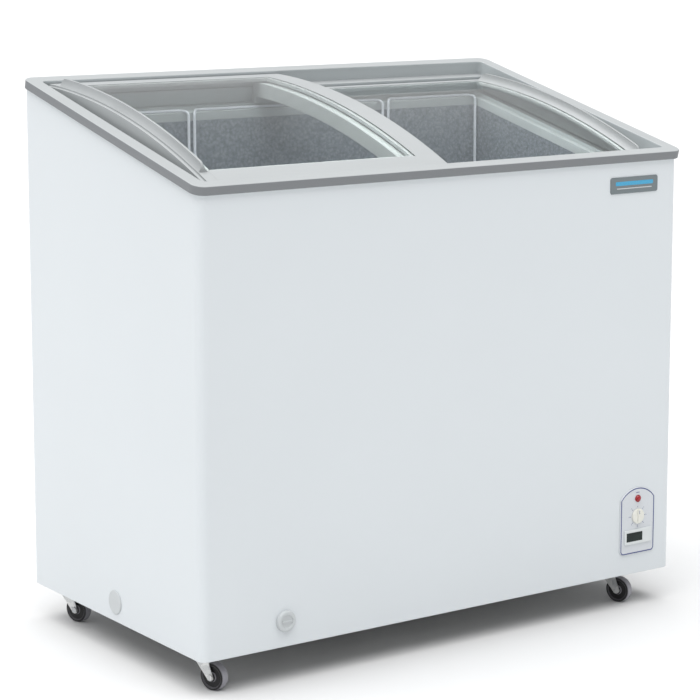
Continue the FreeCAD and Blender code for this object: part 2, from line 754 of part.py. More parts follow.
def make_glides(side, name, front, back, foot):
    """Four low-friction pads under a lid's rails."""
    body = new_body(f"{name}_glides", SLOPED)
    deep = 1.9
    start = sketch_on(body, "XY_Plane", -1 * foot)
    for centre in (90, 400):
        low, high = sorted((side * (centre - 18), side * (centre + 18)))
        for near in (front + 2, back - 10):
            rectangle(start, low, high, near, near + 8)
    pad(body, start, deep, reverse=True)


def make_centre_seal():
    """Flexible strip under the upper lid's stile that closes the gap to the lower lid's bar."""
    body = new_body("centre_seal", SLOPED)
    under = size("upper_crest") - size("frame_deep")
    strip = sketch_on(body, "YZ_Plane", -30)
    ends = (size("arc_middle") - 225, size("arc_middle") + 225)
    arch(strip, *ends, under, ("arched", size("bar_crest") + 0.6), size("upper_crest"))
    pad(body, strip, 18)


def make_lid_bumpers():
    """Rubber stops on the rim's side walls, two for each lid."""
    body = new_body("lid_bumpers", SLOPED)
    wall = size("rim_width") / 2 - size("rim_land")
    for side, top in ((-1, -10), (1, -34)):
        start = sketch_on(body, "XY_Plane", top)
        low, high = sorted((side * (wall - 7.5), side * wall))
        for s in (90, 484):
            rectangle(start, low, high, s, s + 14)
        pad(body, start, 9, reverse=True)


# ---------------------------------------------------------------- baskets
def spread(low, high, count):
    """Evenly spaced places strictly between two ends."""
    return [low + (high - low) * (n + 1) / (count + 1) for n in range(count)]


def parted(shape, regions):
    """The solids of a shape that lie in each region of depth and height."""
    reach = 600
    solids = []
    for y_low, y_high, z_low, z_high in regions:
        box = Part.makeBox(2 * reach, y_high - y_low, z_high - z_low, Vector(-reach, y_low, z_low))
        solids += shape.common(box).Solids
    return Part.makeCompound(solids)


def make_basket(name, left, right, lengthwise, bent_sides):
    """Welded wire basket hung on the collar's ledge by its front and back hangers.

    The carrying wire of the sides in bent_sides slopes down from the back hanger. The floor, each
    wall, each post and each hanger bar is one solid, and they meet face to face.
    """
    wire, thin = float(size("wire_radius")), float(size("grid_radius"))
    rim, floor, knee_z = float(size("basket_rim")), float(size("basket_floor")), 800
    perch = -size("basket_ledge") + wire + 0.3
    front_y, back_y = size("tub_front") + wire + 3.5, size("tub_back") - wire - 7.5
    knee_y = back_y - 125
    inset, bend = 9, 8

    front_bar = from_rim(0, size("throat_front") + wire + 0.4, perch)
    back_bar = from_rim(0, size("collar_back") + wire + 3, perch)
    front_top, back_top = rim_height(front_y, perch), rim_height(back_y, perch)

    def side_wire(bent):
        """Depths and heights of a side's carrying wire, from the front hanger to the back one."""
        middle = [(knee_y, rim), (back_y, knee_z)] if bent else [(back_y, rim)]
        return [(front_y, front_top), (front_y, rim), *middle, (back_y, back_top)]

    def belt(z, inward, radius):
        """A closed wire round the basket."""
        x_low, x_high, y_low, y_high = left + inward, right - inward, front_y + inward, back_y - inward
        ring = [(x_low, y_low, z), (x_high, y_low, z), (x_high, y_high, z), (x_low, y_high, z)]
        return tube(ring, radius, bend, closed=True)

    loop = [(left + inset, front_bar.y, front_bar.z), (right - inset, front_bar.y, front_bar.z)]
    loop += [(right, y, z) for y, z in side_wire("right" in bent_sides)]
    loop += [(right - inset, back_bar.y, back_bar.z), (left + inset, back_bar.y, back_bar.z)]
    loop += [(left, y, z) for y, z in reversed(side_wire("left" in bent_sides))]
    brim = rim - 2 * wire + 1
    pieces = [tube(loop, wire, bend, closed=True), belt(brim, 0, wire - 0.5)]

    for x in spread(left, right, lengthwise):
        path = [(x, front_y, brim), (x, front_y, floor), (x, back_y, floor), (x, back_y, brim)]
        pieces.append(tube(path, thin, bend))
    under = floor - 2 * thin + 0.4
    for y in spread(front_y, back_y, 7):
        path = [(left, y, brim), (left, y, under), (right, y, under), (right, y, brim)]
        pieces.append(tube(path, thin, bend))
    pieces += [belt(z, 2 * thin - 0.4, thin) for z in spread(floor, rim, 2)]

    foot, head = floor + bend + 1, rim + wire + 0.5
    near, far = front_y + bend + 1, back_y - bend - 1
    front_neck, back_neck = front_top - 12, back_top - 12
    ahead, behind, below, above = front_y - 40, back_y + 40, under - 10, back_top + 20
    new_feature(name, parted(pieces[0].multiFuse(pieces[1:]), [
        (ahead, behind, below, foot),
        (ahead, near, foot, head), (near, far, foot, head), (far, behind, foot, head),
        (ahead, near, head, front_neck), (near, far, head, above), (far, behind, head, back_neck),
        (ahead, near, front_neck, above), (far, behind, back_neck, above),
    ]))


# ---------------------------------------------------------------- refrigeration
def make_evaporator():
    """Copper tube wound round the tub inside the foam."""
    bore_wall, clear = 4, 5.2
    x = size("collar_half") + clear
    front, back = size("tub_front") - clear, size("tub_back") + clear
    top, drop, turns = 640, 13, 5
    corners = [(x, back), (-x, back), (-x, front), (x, front)] * turns
    points = [(px, py, top - drop * n) for n, (px, py) in enumerate(corners)]
    new_feature("evaporator_coil", tube(points, bore_wall, size("tub_corner") + clear))


def make_compressor():
    """Hermetic motor-compressor: two pressed half shells joined at a welded flange."""
    body = new_body("compressor", place_at(compressor_x, compressor_y, compressor_low))
    radius, tall, weld = compressor_radius, compressor_tall, 95
    profile = [(0, 0), (42, 0), (radius - 2, 22), (radius - 2, weld - 4), (radius + 4, weld - 4),
               (radius + 4, weld + 4), (radius - 4, weld + 4), (radius - 4, tall - 40), (30, tall), (0, tall)]
    arcs = {1: (59, 8), 7: (54, tall - 12)}
    revolve(body, outline(sketch_on(body, "XZ_Plane"), profile, arcs), 360, "V_Axis")

    feet = new_body("compressor_feet", place_at(compressor_x, compressor_y, compressor_low - 3))
    half_x, half_y = 95, 62
    pad(feet, rectangle(sketch_on(feet, "XY_Plane"), -half_x, half_x, -half_y, half_y), 3)
    fillet(feet, 20, upright(*box_corners(half_x, -half_y, half_y)))
    spots = [(x, y) for x in (-78, 78) for y in (-46, 46)]
    holes(feet, "XY_Plane", 5, spots, 6, 10)

    grommets = new_body("compressor_grommets", place_at(compressor_x, compressor_y, 0))
    stages = [(machine_floor, compressor_low - 3, 12), (compressor_low - 3, compressor_low, 6)]
    for low, high, radius in stages:
        sketch = sketch_on(grommets, "XY_Plane", low)
        for x, y in spots:
            circle(sketch, x, y, radius)
        pad(grommets, sketch, high - low)

    cover = new_body("terminal_cover", place_at(compressor_x, compressor_y, 0))
    reach = compressor_radius + 4.5
    pad(cover, rectangle(sketch_on(cover, "YZ_Plane", -reach - 26), -30, 30, 105, 160), 26)
    fillet(cover, 5, lambda edge: edge.BoundBox.XLength > 25)


def make_condenser():
    """Serpentine condenser with wire fins, standing behind the rear grille."""
    y, left, right = 255, 222, 470
    runs, low, pitch = 8, 96, 24
    points = []
    for run in range(runs):
        ends = (left, right) if run % 2 == 0 else (right, left)
        points += [(x, y, low + run * pitch) for x in ends]
    coil = tube(points, 2.5, 11.5)
    top = low + (runs - 1) * pitch
    fins = []
    for x in spread(left + 16, right - 16, 20):
        for face in (-1, 1):
            fins.append(Part.makeCylinder(0.8, top - low + 12, Vector(x, y + face * 3, low - 6)))
    new_feature("condenser", coil.multiFuse(fins))

    motor = new_body("fan_motor", place_at(fan_x, 0, fan_z))
    profile = [(fan_y - 40, 0), (fan_y - 40, 26), (fan_y - 8, 26), (fan_y - 8, 8), (fan_y, 8), (fan_y, 3),
               (fan_y + 16, 3), (fan_y + 16, 0)]
    revolve(motor, outline(sketch_on(motor, "YZ_Plane"), profile), 360, "H_Axis")
    foot = rectangle(sketch_on(motor, "XZ_Plane", -fan_y + 30), -9, 9, machine_floor - fan_z, -24)
    pad(motor, foot, 12)
    plate = rectangle(sketch_on(motor, "XY_Plane", machine_floor - fan_z), -26, 26, fan_y - 56, fan_y - 16)
    pad(motor, plate, 2)

    blade = new_body("fan_blade", place_at(fan_x, 0, fan_z))
    hub = [(fan_y + 2, 3.05), (fan_y + 2, 14), (fan_y + 15, 14), (fan_y + 15, 3.05)]
    revolve(blade, outline(sketch_on(blade, "YZ_Plane"), hub), 360, "H_Axis")
    tilt = Rotation(Vector(0, 1, 0), 28)
    for turn in range(4):
        around = Rotation(Vector(0, 0, 1), 90 * turn) * tilt
        sketch = sketch_on(blade, "XZ_Plane", -fan_y - 8.5, turn=around)
        outline(sketch, [(-7, 9), (7, 9), (20, 62), (-20, 62)], {2: (0, 67)})
        pad(blade, sketch, 1.6, symmetric=True)


def make_pipework():
    """Filter dryer and the joining pipes of the machine compartment."""
    dryer = new_body("filter_dryer", place_at(222, 150, 130))
    profile = [(0, 0), (3, 0), (9.5, 14), (9.5, 86), (3, 100), (0, 100)]
    revolve(dryer, outline(sketch_on(dryer, "XZ_Plane"), profile), 360, "V_Axis")
    ceiling = size("machine_top") - size("sheet_gauge")
    shell = compressor_x + compressor_radius - 4
    suction = [(shell, compressor_y + 20, 205), (shell + 30, compressor_y + 20, 205),
               (shell + 30, compressor_y + 20, 240), (shell + 30, compressor_y + 110, 240),
               (shell + 30, compressor_y + 110, ceiling)]
    new_feature("suction_pipe", tube(suction, 4, 12))
    discharge = [(shell, compressor_y - 20, 195), (shell + 50, compressor_y - 20, 195),
                 (shell + 50, 225, 195), (shell + 50, 225, 240)]
    new_feature("discharge_pipe", tube(discharge, 3, 12))


# ---------------------------------------------------------------- drain and plugs
def make_drain():
    """Defrost drain from the tub's floor to the front, and its push-in cap."""
    x, z = -size("drain_left"), size("drain_height")
    path = [(x, drain_y, size("tub_floor") - size("liner_gauge")), (x, drain_y, z), (x, -face_y, z)]
    new_feature("drain_tube", tube(path, drain_bore + 2, 12, bore=drain_bore))
    cap = new_body("drain_cap", place_at(x, 0, z))
    near = -face_y - 0.1
    profile = [(near + 14, 0), (near + 14, drain_bore - 0.1), (near, drain_bore - 0.1), (near, 17.5),
               (near - 4, 17.5), (near - 7, 13.5), (near - 7, 11), (near - 5.4, 10), (near - 5.4, 0)]
    revolve(cap, outline(sketch_on(cap, "YZ_Plane"), profile, {4: (near - 6.2, 16.4)}), 360, "H_Axis")
    grip = rectangle(sketch_on(cap, "XZ_Plane", face_y + 5.4), -9.9, 9.9, -1.6, 1.6)
    pad(cap, grip, 1.7)

    plug = new_body("side_plug", place_at(0, plug_y, plug_z))
    out = -side_x
    profile = [(out + 2, 0), (out + 2, plug_hole - 0.1), (out, plug_hole - 0.1), (out, 20.5), (out - 1, 20.5),
               (out - 2, 19), (out - 2, 0)]
    revolve(plug, outline(sketch_on(plug, "XZ_Plane"), profile), 360, "H_Axis")


# ---------------------------------------------------------------- controls
def make_controls():
    """Front plate with the lamp, the thermostat dial and the thermometer."""
    plate = new_body("control_plate", place_at(plate_x, 0, plate_z))
    half, tall = size("plate_wide") / 2, size("plate_tall") / 2
    shoulder = tall - 21
    square = [(-half, -tall), (half, -tall), (half, shoulder), (-half, shoulder)]
    points, arcs = rounded(square, {0: 8, 1: 8})
    arcs[len(points) - 2] = (0, tall)
    pad(plate, outline(sketch_on(plate, "XZ_Plane", face_y), points, arcs), size("plate_thick"))
    fillet(plate, 10, lambda edge: edge.BoundBox.YLength > 2 and abs(edge.BoundBox.ZMin - shoulder) < 0.01)
    front = -face_y - size("plate_thick")
    fillet(plate, 1.2, at_depth(front))
    cuts = sketch_on(plate, "XZ_Plane", face_y)
    circle(cuts, 0, lamp_z - plate_z, lamp_hole)
    circle(cuts, 0, knob_z - plate_z, knob_hole)
    low = module_z - plate_z
    rectangle(cuts, -module_half, module_half, low - module_tall, low + module_tall)
    pocket(plate, cuts, None, symmetric=True)

    lamp = new_body("indicator_lamp", place_at(plate_x, 0, lamp_z))
    profile = [(front + 14, 0), (front + 14, lamp_hole - 0.1), (front, lamp_hole - 0.1), (front, 6.5),
               (front - 1.2, 6.5), (front - 1.2, 5.4), (front - 4.4, 1.5), (front - 4.4, 0)]
    revolve(lamp, outline(sketch_on(lamp, "YZ_Plane"), profile, {5: (front - 3.4, 4)}), 360, "H_Axis")

    dial = new_body("thermostat_dial", place_at(plate_x, 0, knob_z))
    radius, back = size("knob_radius"), front - 0.2
    profile = [(back, 0), (back, radius), (back - 2.4, radius), (back - 3.4, radius - 1.2), (back - 3.4, 0)]
    revolve(dial, outline(sketch_on(dial, "YZ_Plane"), profile), 360, "H_Axis")
    ridge = rectangle(sketch_on(dial, "XZ_Plane", -back + 3.4), -2.6, 2.6, -radius + 1.6, radius - 1.6)
    pad(dial, ridge, 2)
    fillet(dial, 0.8, at_depth(back - 5.4))
    holes(dial, "XZ_Plane", -back, [(0, 0)], size("axle_radius"), 3, reverse=True)

    spindle = new_body("thermostat_spindle", place_at(plate_x, 0, knob_z))
    shaft = circle(sketch_on(spindle, "XZ_Plane", -back + 3), 0, 0, size("axle_radius"))
    pad(spindle, shaft, 22, reverse=True)

    housing = new_body("thermostat", place_at(plate_x, 0, knob_z))
    inner = face_y - size("sheet_gauge")
    pad(housing, rectangle(sketch_on(housing, "XZ_Plane", inner), -22, 22, -20, 26), 26, reverse=True)
    fillet(housing, 2, lambda edge: edge.BoundBox.YLength > 25)
    holes(housing, "XZ_Plane", inner, [(0, 0)], size("axle_radius") + 0.05, 18)

    module = new_body("thermometer", place_at(plate_x, 0, module_z))
    half_wide, half_tall = 31.3, 13.2
    bezel = sketch_on(module, "XZ_Plane", -front)
    rectangle(bezel, -half_wide, half_wide, -half_tall, half_tall)
    pad(module, bezel, 2.6)
    fillet(module, 1.6, lambda edge: edge.BoundBox.YLength > 2.5)
    fillet(module, 0.8, at_depth(front - 2.6))
    box = sketch_on(module, "XZ_Plane", -front)
    rectangle(box, -module_half + 0.3, module_half - 0.3, -module_tall + 0.3, module_tall - 0.3)
    pad(module, box, 16, reverse=True)
    window = rectangle(sketch_on(module, "XZ_Plane", -front + 2.6), *lens_box)
    pocket(module, window, 1.2)
    lens = new_body("thermometer_lens", place_at(plate_x, 0, module_z))
    pad(lens, rectangle(sketch_on(lens, "XZ_Plane", -front + 1.4), *lens_box), 0.8)


def make_badge():
    """Blank name plate."""
    body = new_body("badge_plate", place_at(391.5, 0, 759))
    points, arcs = rounded(box_corners(54, -14.25, 14.25), {0: 4, 1: 4, 2: 4, 3: 4})
    thick = 1.6
    pad(body, outline(sketch_on(body, "XZ_Plane", face_y), points, arcs), thick)
    fillet(body, 0.6, at_depth(-face_y - thick))


def make_gland():
    """Bush for the supply cord at the rear of the machine compartment."""
    body = new_body("cord_gland", place_at(gland_x, 0, gland_z))
    back = face_y + size("sheet_gauge")
    profile = [(back - 9, 4), (back - 9, 10), (back - 2.8, 10), (back - 2.8, gland_neck), (back, gland_neck),
               (back, 11), (back + 3, 9), (back + 6, 7), (back + 6, 4)]
    revolve(body, outline(sketch_on(body, "YZ_Plane"), profile), 360, "H_Axis")


# ---------------------------------------------------------------- fasteners
def screw_heads(label, role, offset, places, head, shank, reverse=False):
    """Pan-head screws: a head on the surface and a short shank through it."""
    body = new_body(label)
    cap = sketch_on(body, role, offset)
    for x, y in places:
        circle(cap, x, y, head[0])
    pad(body, cap, head[1], reverse=reverse)
    stem = sketch_on(body, role, offset)
    for x, y in places:
        circle(stem, x, y, shank[0])
    pad(body, stem, shank[1], reverse=not reverse)


def make_rear_screws():
    """Screws round the rear panel and the grille."""
    back = -face_y - size("sheet_gauge")
    shank = (rear_screw_radius, 0.7)
    screw_heads("rear_screws", "XZ_Plane", back, rear_screw_places, (4, 1.8), shank, reverse=True)


# ---------------------------------------------------------------- casters
def make_caster(corner, x, y):
    """Swivel caster: fixed plate with its kingpin, trailing fork with its axle, and wheel."""
    place = Placement(Vector(x, y, 0), Rotation(Vector(0, 0, 1), caster_heading))
    fixed = place_at(x, y, 0)
    radius, trail, axle = size("wheel_radius"), size("caster_trail"), size("axle_radius")
    plate = new_body(f"caster_plate_{corner}", fixed)
    pad(plate, rectangle(sketch_on(plate, "XY_Plane", base_z), -25, 25, -25, 25), 2.5, reverse=True)
    fillet(plate, 5, upright(*box_corners(25, -25, 25)))
    holes(plate, "XY_Plane", base_z + 1, bolt_spots, 2.7, 6)
    pivot = [(0, 44), (5.4, 44), (5.4, 46), (4, 46), (4, 51), (16, 51), (17, 54), (17, base_z - 2),
             (0, base_z - 2)]
    revolve(plate, outline(sketch_on(plate, "XZ_Plane"), pivot), 360, "V_Axis")

    fork = new_body(f"caster_fork_{corner}", place)
    gap, gauge = size("wheel_width") / 2 + 1.2, 2
    crown = 49.5
    points = [(13, crown), (-14, crown), (-24, 22.5), (-12.4, 19.4)]
    leg = outline(sketch_on(fork, "YZ_Plane"), points, {2: (-18.6, 16.5)})
    pad(fork, leg, 2 * (gap + gauge), symmetric=True)
    slot = sketch_on(fork, "XZ_Plane", 5)
    rectangle(slot, -gap, gap, -5, crown - 3)
    pocket(fork, slot, None, symmetric=True)
    web = [(13, crown), (2.6, 37.8), (0.9, 39.4), (9.8, crown - 2)]
    pad(fork, outline(sketch_on(fork, "YZ_Plane"), web), 2 * gap + 1, symmetric=True)
    pad(fork, circle(sketch_on(fork, "XY_Plane", crown - 3), 0, 0, 15), 3)
    holes(fork, "XY_Plane", crown + 1, [(0, 0)], 4.05, 12)
    pin = circle(sketch_on(fork, "YZ_Plane"), -trail, radius, axle)
    pad(fork, pin, 2 * (gap + gauge) + 3, symmetric=True)
    for side in (-1, 1):
        head = circle(sketch_on(fork, "YZ_Plane", side * (gap + gauge)), -trail, radius, 5)
        pad(fork, head, 2, reverse=side < 0)

    wheel = new_body(f"caster_wheel_{corner}", place)
    half = size("wheel_width") / 2
    sketch = sketch_on(wheel, "XY_Plane", radius, (0, -trail))
    bore = axle + 0.05
    rim = radius - 3.5
    profile = [(-half, bore), (half, bore), (half, 7.5), (half - 2, 8.5), (half - 2, rim - 2), (half, rim),
               (half - 3, radius), (3 - half, radius), (-half, rim), (2 - half, rim - 2), (2 - half, 8.5),
               (-half, 7.5)]
    tread = {5: (half - 0.9, radius - 1), 7: (0.9 - half, radius - 1)}
    revolve(wheel, outline(sketch, profile, tread), 360, "H_Axis")


def make_caster_bolts():
    places = [(x + dx, y + dy) for _, x, y in casters for dx, dy in bolt_spots]
    screw_heads("caster_bolts", "XY_Plane", base_z - 2.5, places, (4.5, 2.5), (2.6, 2.5), reverse=True)


make_outer_wrap()
make_rear_panel()
make_rear_grille()
make_base_pan()
make_machine_housing()
make_liner()
make_foam()
make_top_frame()
make_throat_collar()
make_lid(-1, "left_lid", size("upper_crest"), size("upper_rail_front"), size("upper_rail_back"),
         size("upper_foot"), size("stile_over"), size("upper_crest"))
make_lid(1, "right_lid", size("lower_crest"), size("lower_rail_front"), size("lower_rail_back"),
         size("lower_foot"), -1 * size("bar_reach"), size("bar_crest"))
make_centre_seal()
make_lid_bumpers()
make_basket("left_basket", -430.5, -207, 3, ["right"])
make_basket("middle_basket", -195, 213, 7, ["left", "right"])
make_basket("right_basket", 226, 430.5, 3, ["left"])
make_evaporator()
make_compressor()
make_condenser()
make_pipework()
make_drain()
make_controls()
make_badge()
make_gland()
make_rear_screws()
for corner, x, y in casters:
    make_caster(corner, x, y)
make_caster_bolts()

# ---------------------------------------------------------------- checks and export
doc.recompute()
for item in doc.Objects:
    if {"Invalid", "Error"} & set(item.State):
        raise RuntimeError(f"{item.Name} failed: {item.State}")
for body in bodies:
    if body.Shape.isNull() or not body.Shape.isValid():
        raise RuntimeError(f"{body.Label} has no valid shape")
for body in bodies:
    body.Shape.exportStep(f"parts/{body.Label}.step")
print(f"{len(bodies)} sub-parts written")
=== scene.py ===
import json
import math

import bmesh
import bpy
from mathutils import Matrix, Vector


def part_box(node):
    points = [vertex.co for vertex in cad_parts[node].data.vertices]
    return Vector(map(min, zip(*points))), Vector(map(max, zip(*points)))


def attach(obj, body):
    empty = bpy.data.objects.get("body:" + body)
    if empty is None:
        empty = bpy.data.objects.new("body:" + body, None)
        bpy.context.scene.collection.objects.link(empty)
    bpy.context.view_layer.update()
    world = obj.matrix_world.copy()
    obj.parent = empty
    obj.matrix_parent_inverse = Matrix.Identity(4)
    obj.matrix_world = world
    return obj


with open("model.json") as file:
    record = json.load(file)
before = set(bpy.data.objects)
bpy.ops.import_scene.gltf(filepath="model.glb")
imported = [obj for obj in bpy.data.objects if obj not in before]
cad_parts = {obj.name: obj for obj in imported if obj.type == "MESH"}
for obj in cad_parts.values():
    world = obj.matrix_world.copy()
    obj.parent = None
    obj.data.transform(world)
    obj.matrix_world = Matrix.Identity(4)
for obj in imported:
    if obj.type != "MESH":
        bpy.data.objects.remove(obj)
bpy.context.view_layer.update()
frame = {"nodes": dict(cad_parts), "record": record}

# Looks of the sliding-lid chest freezer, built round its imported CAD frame.
# Everything is in metres, with +Z up and the front towards -Y.
MM = 0.001
RIM_MIDDLE = (0.0, 0.0, 0.87)
RIM_NORMAL = (0.0, -0.2305, 0.9731)
CASTER_HEADING = math.radians(21.7)


# ---------------------------------------------------------------- material helpers
def socket_name(word):
    """The shader socket that a plain argument name stands for."""
    return word.replace("_", " ").title().replace("Ior", "IOR")


class Finish:
    """A Principled material with the texture nodes that feed it."""

    def __init__(self, name, colour, roughness, metallic=0.0, **sockets):
        self.material = bpy.data.materials.new(name)
        self.material.use_nodes = True
        self.tree = self.material.node_tree
        self.shader = self.tree.nodes["Principled BSDF"]
        self.shader.inputs["Base Color"].default_value = (*colour, 1)
        self.shader.inputs["Roughness"].default_value = roughness
        self.shader.inputs["Metallic"].default_value = metallic
        for socket, value in sockets.items():
            self.shader.inputs[socket_name(socket)].default_value = value
        self.place = self.node("TexCoord", {}).outputs["Object"]

    def node(self, kind, inputs, **settings):
        made = self.tree.nodes.new(f"ShaderNode{kind}")
        for name, value in settings.items():
            setattr(made, name, value)
        for socket, value in inputs.items():
            if isinstance(value, bpy.types.NodeSocket):
                self.tree.links.new(value, made.inputs[socket])
            else:
                made.inputs[socket].default_value = value
        return made

    def stretched(self, stretch):
        """Object coordinates scaled unevenly, so that a pattern runs long along an axis."""
        return self.node("Mapping", {"Vector": self.place, "Scale": stretch}).outputs["Vector"]

    def noise(self, grain, detail=2.0, stretch=None, seed=0.0):
        """Soft noise whose blobs are about grain metres across."""
        place = self.stretched(stretch) if stretch else self.place
        inputs = {"Vector": place, "W": seed, "Scale": 0.5 / grain, "Detail": detail}
        return self.node("TexNoise", inputs, noise_dimensions="4D").outputs["Fac"]

    def cells(self, grain, output="Distance", feature="F1"):
        """Cells about grain metres across."""
        inputs = {"Vector": self.place, "Scale": 1 / grain}
        return self.node("TexVoronoi", inputs, feature=feature).outputs[output]

    def between(self, value, low, high, start=0.0, stop=1.0):
        """Remap a value from start..stop to low..high."""
        inputs = {"Value": value, "From Min": start, "From Max": stop, "To Min": low, "To Max": high}
        return self.node("MapRange", inputs).outputs["Result"]

    def ramp(self, value, *stops):
        """Colours at positions along a value."""
        made = self.node("ValToRGB", {"Fac": value})
        elements = made.color_ramp.elements
        while len(elements) < len(stops):
            elements.new(1.0)
        for element, (position, colour) in zip(elements, stops):
            element.position = position
            element.color = (*colour, 1)
        return made.outputs["Color"]

    def overlay(self, share, under, over):
        """over laid on under by share."""
        made = self.tree.nodes.new("ShaderNodeMix")
        made.data_type = "RGBA"
        for socket, value in ((0, share), (6, under), (7, over)):
            if isinstance(value, bpy.types.NodeSocket):
                self.tree.links.new(value, made.inputs[socket])
            else:
                made.inputs[socket].default_value = (*value, 1)
        return made.outputs[2]

    def plus(self, first, second, operation="ADD"):
        return self.node("Math", {0: first, 1: second}, operation=operation).outputs[0]

    def edges(self, radius):
        """A mask that rises to 1 along sharp edges, and the softened normal."""
        soft = self.node("Bevel", {"Radius": radius}, samples=4).outputs["Normal"]
        flat = self.node("NewGeometry", {}).outputs["Normal"]
        facing = self.node("VectorMath", {0: soft, 1: flat}, operation="DOT_PRODUCT").outputs["Value"]
        return self.between(facing, 0.0, 1.0, start=0.995, stop=0.8), soft

    def facing(self, direction):
        """How far the surface turns towards a direction of the object's own frame, from -1 to 1."""
        normal = self.node("TexCoord", {}).outputs["Normal"]
        made = self.node("VectorMath", {0: normal, 1: direction}, operation="DOT_PRODUCT")
        return made.outputs["Value"]

    def bump(self, height, depth, normal=None):
        inputs = {"Height": height, "Distance": depth, "Strength": 1.0}
        if normal:
            inputs["Normal"] = normal
        return self.node("Bump", inputs).outputs["Normal"]

    def use(self, **links):
        for socket, source in links.items():
            self.tree.links.new(source, self.shader.inputs[socket_name(socket)])
        return self.material


def shade(colour, factor):
    return tuple(min(channel * factor, 1.0) for channel in colour)


# ---------------------------------------------------------------- materials, one for each slot
def white_paint():
    """Pre-painted sheet: faint orange peel, slow tone drift and a little scuffing on the edges."""
    colour = (0.665, 0.70, 0.722)
    made = Finish("white_paint", colour, 0.34, coat_weight=0.12, coat_roughness=0.2)
    drift = made.noise(0.25, detail=3)
    peel = made.noise(0.0016, detail=1)
    haze = made.noise(0.03, detail=4)
    edge, soft = made.edges(0.0012)
    base = made.ramp(drift, (0.3, shade(colour, 0.985)), (0.7, shade(colour, 1.01)))
    worn = made.plus(edge, made.between(haze, 0.0, 0.5, start=0.4, stop=0.7), operation="MULTIPLY")
    tone = made.overlay(worn, base, shade(colour, 0.86))
    return made.use(base_color=tone, roughness=made.between(haze, 0.33, 0.38, start=0.3, stop=0.7),
                    normal=made.bump(peel, 0.00004, soft))


def galvanised():
    """Zinc plate with spangle and fine draw marks."""
    made = Finish("galvanised", (0.55, 0.56, 0.56), 0.36, metallic=0.9)
    spangle = made.cells(0.009, output="Color")
    grey = made.node("SeparateColor", {"Color": spangle}).outputs["Red"]
    fine = made.noise(0.0012, detail=3)
    tone = made.ramp(grey, (0.0, (0.42, 0.43, 0.44)), (0.5, (0.56, 0.57, 0.57)),
                     (1.0, (0.70, 0.70, 0.69)))
    edge, soft = made.edges(0.0006)
    return made.use(base_color=made.overlay(made.between(edge, 0.0, 0.5), tone, (0.78, 0.78, 0.77)),
                    roughness=made.between(fine, 0.24, 0.5, start=0.3, stop=0.7),
                    normal=made.bump(fine, 0.00006, soft))


def liner_aluminium():
    """Stucco-embossed aluminium sheet."""
    made = Finish("liner_aluminium", (0.21, 0.235, 0.27), 0.5, metallic=0.2)
    pebble = made.cells(0.0055, feature="SMOOTH_F1")
    fleck = made.noise(0.0018, detail=3)
    drift = made.noise(0.12, detail=4)
    tone = made.ramp(made.plus(pebble, fleck, operation="MULTIPLY"),
                     (0.05, (0.27, 0.30, 0.34)), (0.22, (0.19, 0.213, 0.245)),
                     (0.45, (0.115, 0.132, 0.157)))
    dull = made.overlay(made.between(drift, 0.0, 0.3, start=0.35, stop=0.7), tone, (0.175, 0.197, 0.228))
    height = made.plus(made.between(pebble, 1.0, 0.0), made.between(fleck, 0.0, 0.35))
    return made.use(base_color=dull, roughness=made.between(fleck, 0.4, 0.6, start=0.3, stop=0.7),
                    normal=made.bump(height, 0.0004))


def foam():
    """Rigid polyurethane foam with its skin of cells."""
    made = Finish("foam", (0.84, 0.76, 0.52), 0.9)
    cells = made.cells(0.0022)
    patch = made.noise(0.04, detail=4)
    tone = made.ramp(patch, (0.3, (0.76, 0.66, 0.40)), (0.7, (0.88, 0.81, 0.58)))
    return made.use(base_color=tone, normal=made.bump(made.plus(cells, patch), 0.0006))


def rim_faces(made):
    """Masks of the rim's steep faces, and of those among them that look away from its middle; they place
    painted shade and painted light.
    """
    outward = made.node("VectorMath", {0: made.place, 1: RIM_MIDDLE}, operation="SUBTRACT")
    away = made.between(made.facing(outward.outputs["Vector"]), 0.0, 1.0, start=0.05, stop=0.1)
    steep = made.between(made.facing(RIM_NORMAL), 1.0, 0.0, start=0.4, stop=0.8)
    return steep, made.plus(away, steep, operation="MULTIPLY")


def moulded(name, colour, roughness=0.42, grain=0.0007, depth=0.00004, edge_radius=0.0011, painted_shade_colour=None,
            painted_light_colour=None, **sockets):
    """Injection-moulded plastic: spark-eroded grain, faint flow marks and a painted highlight along the
    edges.

    The two optional rim colours are painted shade, darker on the rim's outward faces, and painted light,
    paler on its inner walls.
    """
    made = Finish(name, colour, roughness, **sockets)
    texture = made.noise(grain, detail=2)
    flow = made.noise(0.045, detail=3, stretch=(0.35, 1.0, 1.0))
    edge, soft = made.edges(edge_radius)
    tone = made.ramp(flow, (0.3, shade(colour, 0.965)), (0.7, shade(colour, 1.03)))
    # A lighter copy of the colour along the edges: a painted highlight.
    tone_with_painted_light = made.overlay(made.between(edge, 0.0, 0.35), tone, shade(colour, 1.18))
    if painted_shade_colour:
        # Outward steep faces get painted shade, the other steep faces painted light.
        steep, outer = rim_faces(made)
        tone_with_painted_light = made.overlay(outer, made.overlay(steep, tone_with_painted_light, painted_light_colour), painted_shade_colour)
    rough = made.between(texture, roughness - 0.07, roughness + 0.1, start=0.3, stop=0.7)
    return made.use(base_color=tone_with_painted_light, roughness=rough, normal=made.bump(texture, depth, soft))


def grey_plastic():
    return moulded("grey_plastic", (0.385, 0.402, 0.407), roughness=0.42)


def rim_plastic():
    # The darker colour on the rim's outward faces is painted shade, the paler one on its inner walls
    # painted light.
    return moulded("rim_plastic", (0.385, 0.402, 0.407), roughness=0.42, painted_shade_colour=(0.19, 0.20, 0.21),
                   painted_light_colour=(0.50, 0.535, 0.545))


def collar_plastic():
    return moulded("collar_plastic", (0.50, 0.53, 0.54), roughness=0.42)


